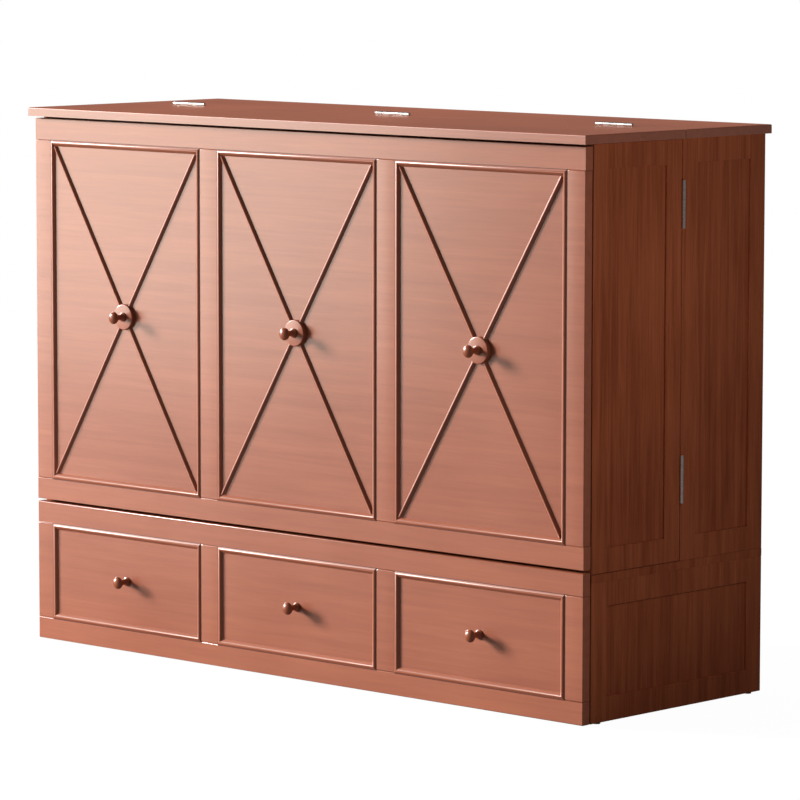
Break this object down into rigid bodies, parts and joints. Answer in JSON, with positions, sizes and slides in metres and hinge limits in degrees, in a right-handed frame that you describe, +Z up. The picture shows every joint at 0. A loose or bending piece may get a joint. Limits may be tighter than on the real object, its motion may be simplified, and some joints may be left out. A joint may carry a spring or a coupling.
{
  "type": "cabinet bed",
  "caption": "Cabinet bed: a low cabinet with a hinged top, wings that swing aside, a folding front that carries a slatted fold-out bed, and a base drawer.",
  "frame": {"origin": "on the floor under the centre of the bounding box", "axes": "+X to the viewer's right along the front, +Y from the front to the back, +Z up"},
  "size_m": [1.646, 0.625, 1.2105],
  "materials": {
    "side_wood": "satin lacquer, upright grain",
    "front_wood": "satin lacquer, level grain",
    "moulding_wood": "satin lacquer",
    "top_wood": "satin lacquer",
    "carcase_board": "matt board",
    "slat_wood": "plain sanded softwood",
    "steel": "black powder coat",
    "hinge_nickel": "bright nickel",
    "knob_bronze": "turned and lacquered",
    "rosette_wood": "turned and lacquered",
    "leg_paint": "semi-gloss",
    "leg_cap": "matt",
    "pad_felt": "felt"
  },
  "bodies": {
    "cabinet": {"side_frames": "side_wood", "side_panels": "side_wood", "deck_board": "carcase_board", "base_back": "carcase_board", "base_front_rail": "carcase_board", "floor_glides": "leg_cap", "back_panel": "carcase_board", "back_rails": "carcase_board", "top_rear_leaf": "top_wood", "head_bearers": "slat_wood", "head_slats": "slat_wood", "pivot_arms": "steel", "drawer_slide_outers": "steel", "fixed_hinge_leaves": "hinge_nickel", "hinge_pins": "hinge_nickel"},
    "lid": {"top_front_leaf": "top_wood", "lid_pads": "pad_felt", "lid_hinge_leaves": "hinge_nickel"},
    "left_wing": {"left_wing_frame": "side_wood", "left_wing_panel": "side_wood", "left_wing_hinge_leaves": "hinge_nickel"},
    "right_wing": {"right_wing_frame": "side_wood", "right_wing_panel": "side_wood", "right_wing_hinge_leaves": "hinge_nickel"},
    "front_panel": {"front_rails": "front_wood", "front_stiles": "front_wood", "front_fields": "front_wood", "front_beads": "moulding_wood", "front_crosses": "moulding_wood", "front_rosettes": "rosette_wood", "front_knobs": "knob_bronze", "panel_cheeks": "slat_wood", "mid_battens": "slat_wood", "mid_slats": "slat_wood", "pivot_pins": "steel", "closing_bumpers": "pad_felt"},
    "foot_section": {"foot_side_rails": "slat_wood", "foot_cross_rails": "slat_wood", "foot_slats": "slat_wood", "foot_pivots": "steel", "near_leg_bearings": "slat_wood"},
    "foot_extension": {"extension_rails": "slat_wood", "extension_slats": "slat_wood", "far_leg_bearings": "slat_wood"},
    "near_legs": {"near_leg_frame": "leg_paint", "near_leg_feet": "leg_cap"},
    "far_legs": {"far_leg_frame": "leg_paint", "far_leg_feet": "leg_cap"},
    "drawer": {"drawer_rails": "front_wood", "drawer_stiles": "front_wood", "drawer_fields": "front_wood", "drawer_beads": "moulding_wood", "drawer_knobs": "knob_bronze", "drawer_box": "carcase_board", "drawer_bottom": "carcase_board", "drawer_dividers": "carcase_board", "drawer_slide_inners": "steel"}
  },
  "joints": [
    {"name": "lid_fold", "type": "hinge", "parent": "cabinet", "child": "lid", "pos_m": [0, 0.0315, 1.2069], "axis": [-1, 0, 0], "range_deg": [0, 180]},
    {"name": "left_wing_swing", "type": "hinge", "parent": "cabinet", "child": "left_wing", "pos_m": [-0.8169, 0.0335, 0.746], "axis": [0, 0, -1], "range_deg": [0, 180]},
    {"name": "right_wing_swing", "type": "hinge", "parent": "cabinet", "child": "right_wing", "pos_m": [0.8169, 0.0335, 0.746], "axis": [0, 0, 1], "range_deg": [0, 180]},
    {"name": "front_panel_fold", "type": "hinge", "parent": "cabinet", "child": "front_panel", "pos_m": [0, -0.2625, 0.333], "axis": [1, 0, 0], "range_deg": [0, 90]},
    {"name": "foot_unfold", "type": "hinge", "parent": "front_panel", "child": "foot_section", "pos_m": [0, -0.2245, 1.161], "axis": [1, 0, 0], "range_deg": [0, 180]},
    {"name": "foot_extension_slide", "type": "slide", "parent": "foot_section", "child": "foot_extension", "axis": [0, 0, -1], "range_m": [0, 0.1]},
    {"name": "near_legs_fold", "type": "hinge", "parent": "foot_section", "child": "near_legs", "pos_m": [0, -0.1795, 1.127], "axis": [1, 0, 0], "range_deg": [0, 90]},
    {"name": "far_legs_fold", "type": "hinge", "parent": "foot_extension", "child": "far_legs", "pos_m": [0, -0.1795, 0.755], "axis": [-1, 0, 0], "range_deg": [0, 90]},
    {"name": "drawer_slide", "type": "slide", "parent": "cabinet", "child": "drawer", "axis": [0, -1, 0], "range_m": [0, 0.34]}
  ],
  "couplings": [
    {"joint": "foot_unfold", "follows": "front_panel_fold", "ratio": 2}
  ]
}
